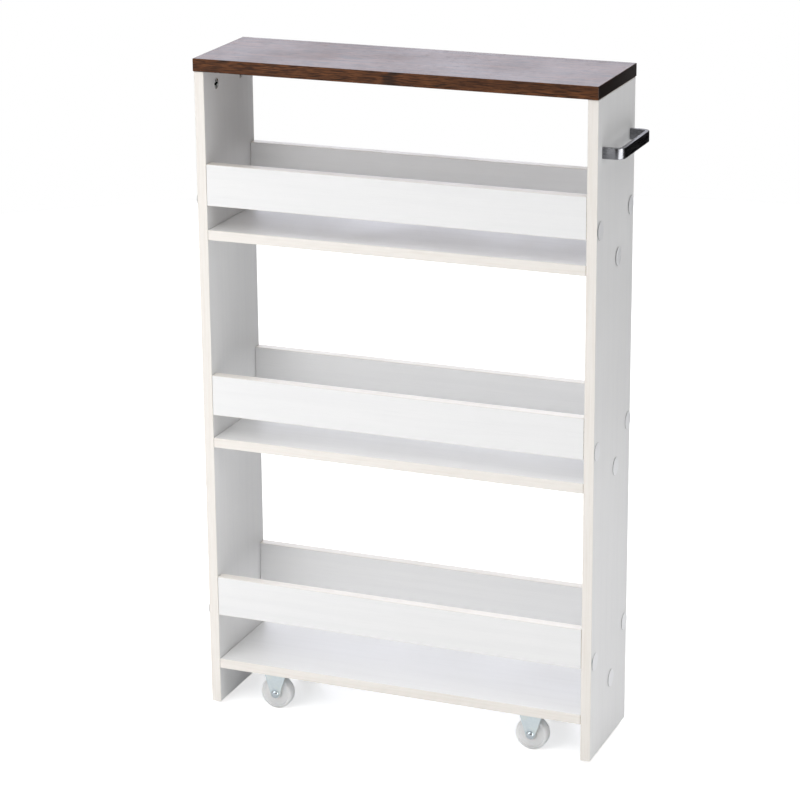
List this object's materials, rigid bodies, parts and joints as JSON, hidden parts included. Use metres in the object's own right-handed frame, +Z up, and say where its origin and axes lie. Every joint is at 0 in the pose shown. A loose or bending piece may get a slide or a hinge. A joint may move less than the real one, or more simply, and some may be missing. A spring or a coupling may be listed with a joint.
{
  "type": "rolling pantry cart",
  "caption": "Slim rolling pantry cart: white laminate side panels, open shelves with front and back rails, a wood-grain top, a pull handle and small fixed casters.",
  "frame": {"origin": "on the floor, under the middle of the whole cart's box with its handle", "axes": "+Z up; +X along the long side, towards the handle; -Y is the front"},
  "size_m": [0.5074, 0.138, 0.8],
  "materials": {
    "white_laminate": "white melamine-faced particle board with cream edge banding, satin",
    "walnut_laminate": "dark rustic walnut-grain laminate on particle board, satin",
    "satin_nickel": "satin nickel plating",
    "zinc_steel": "blue-white zinc-plated steel",
    "nylon": "translucent white nylon"
  },
  "bodies": {
    "cabinet": {"top_panel": "walnut_laminate", "left_side_panel": "white_laminate", "right_side_panel": "white_laminate", "upper_shelf": "white_laminate", "upper_front_rail": "white_laminate", "upper_back_rail": "white_laminate", "middle_shelf": "white_laminate", "middle_front_rail": "white_laminate", "middle_back_rail": "white_laminate", "bottom_shelf": "white_laminate", "bottom_front_rail": "white_laminate", "bottom_back_rail": "white_laminate", "pull_handle": "satin_nickel", "handle_screw_front": "zinc_steel", "handle_screw_back": "zinc_steel", "top_left_front_cam_lock": "zinc_steel", "top_left_front_cam_bolt": "zinc_steel", "shelf_left_front_cam_lock": "zinc_steel", "shelf_left_front_cam_bolt": "zinc_steel", "top_left_back_cam_lock": "zinc_steel", "top_left_back_cam_bolt": "zinc_steel", "shelf_left_back_cam_lock": "zinc_steel", "shelf_left_back_cam_bolt": "zinc_steel", "top_right_front_cam_lock": "zinc_steel", "top_right_front_cam_bolt": "zinc_steel", "shelf_right_front_cam_lock": "zinc_steel", "shelf_right_front_cam_bolt": "zinc_steel", "top_right_back_cam_lock": "zinc_steel", "top_right_back_cam_bolt": "zinc_steel", "shelf_right_back_cam_lock": "zinc_steel", "shelf_right_back_cam_bolt": "zinc_steel", "upper_rail_screw_left_front": "zinc_steel", "upper_rail_screw_left_back": "zinc_steel", "upper_rail_screw_right_front": "zinc_steel", "upper_rail_screw_right_back": "zinc_steel", "middle_rail_screw_left_front": "zinc_steel", "middle_rail_screw_left_back": "zinc_steel", "middle_rail_screw_right_front": "zinc_steel", "middle_rail_screw_right_back": "zinc_steel", "bottom_rail_screw_left_front": "zinc_steel", "bottom_rail_screw_left_back": "zinc_steel", "bottom_rail_screw_right_front": "zinc_steel", "bottom_rail_screw_right_back": "zinc_steel", "upper_shelf_screw_left": "zinc_steel", "upper_shelf_screw_right": "zinc_steel", "middle_shelf_screw_left": "zinc_steel", "middle_shelf_screw_right": "zinc_steel", "caster_bracket_front_left": "zinc_steel", "caster_axle_front_left": "zinc_steel", "caster_bracket_front_right": "zinc_steel", "caster_axle_front_right": "zinc_steel", "caster_bracket_back_left": "zinc_steel", "caster_axle_back_left": "zinc_steel", "caster_bracket_back_right": "zinc_steel", "caster_axle_back_right": "zinc_steel"},
    "wheel_front_left": {"caster_wheel_front_left": "nylon"},
    "wheel_front_right": {"caster_wheel_front_right": "nylon"},
    "wheel_back_left": {"caster_wheel_back_left": "nylon"},
    "wheel_back_right": {"caster_wheel_back_right": "nylon"}
  },
  "joints": [
    {"name": "wheel_spin_front_left", "type": "hinge", "parent": "cabinet", "child": "wheel_front_left", "pos_m": [-0.17525, -0.043, 0.01987], "axis": [0, 1, 0], "continuous": true},
    {"name": "wheel_spin_front_right", "type": "hinge", "parent": "cabinet", "child": "wheel_front_right", "pos_m": [0.15175, -0.043, 0.01987], "axis": [0, 1, 0], "continuous": true},
    {"name": "wheel_spin_back_left", "type": "hinge", "parent": "cabinet", "child": "wheel_back_left", "pos_m": [-0.17525, 0.043, 0.01987], "axis": [0, 1, 0], "continuous": true},
    {"name": "wheel_spin_back_right", "type": "hinge", "parent": "cabinet", "child": "wheel_back_right", "pos_m": [0.15175, 0.043, 0.01987], "axis": [0, 1, 0], "continuous": true}
  ]
}
